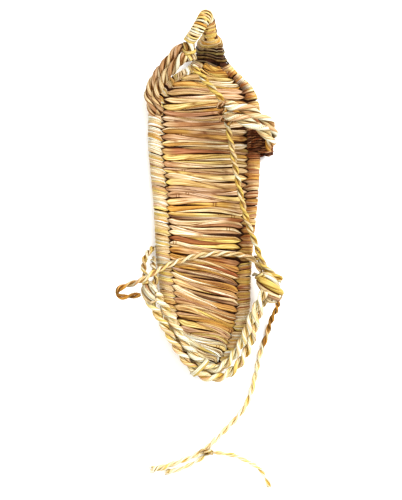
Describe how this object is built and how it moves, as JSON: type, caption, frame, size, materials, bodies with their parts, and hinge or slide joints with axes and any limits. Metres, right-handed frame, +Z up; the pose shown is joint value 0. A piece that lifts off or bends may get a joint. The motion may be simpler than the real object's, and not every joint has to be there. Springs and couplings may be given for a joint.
{
  "type": "straw sandal",
  "caption": "Woven straw sandal for a right foot: ribbed sole with rolled border and upturned toe, braided toe straps, rope heel loops, cross cord and long tie cord.",
  "frame": {"origin": "on the floor plane, on the sole's flat underside under the middle of the foot, on the sole's middle line", "axes": "+Y towards the toe, +X to the wearer's right, +Z up"},
  "size_m": [0.1251, 0.356, 0.0523],
  "materials": {
    "weave": "dry woven straw, ochre to tan with brown gaps",
    "wrap": "cream straw bound in tight turns",
    "strap": "braided straw, cream to pinkish tan",
    "rope": "two-ply straw rope, pale yellow",
    "cord": "two-ply straw cord, pale yellow to cream"
  },
  "bodies": {
    "root": {"sole": "weave", "toe_peak": "wrap", "strap_left": "strap", "strap_right": "strap", "toe_lace": "cord", "heel_rope_outer": "rope", "heel_rope_inner": "rope", "heel_lashing": "rope", "ear_left": "rope", "ear_right": "rope", "binding_left": "rope", "binding_right": "rope", "cross_cord": "cord", "tie_cord": "cord", "tie_cord_second": "cord", "tie_tail": "cord", "tie_knot": "cord"}
  },
  "joints": []
}
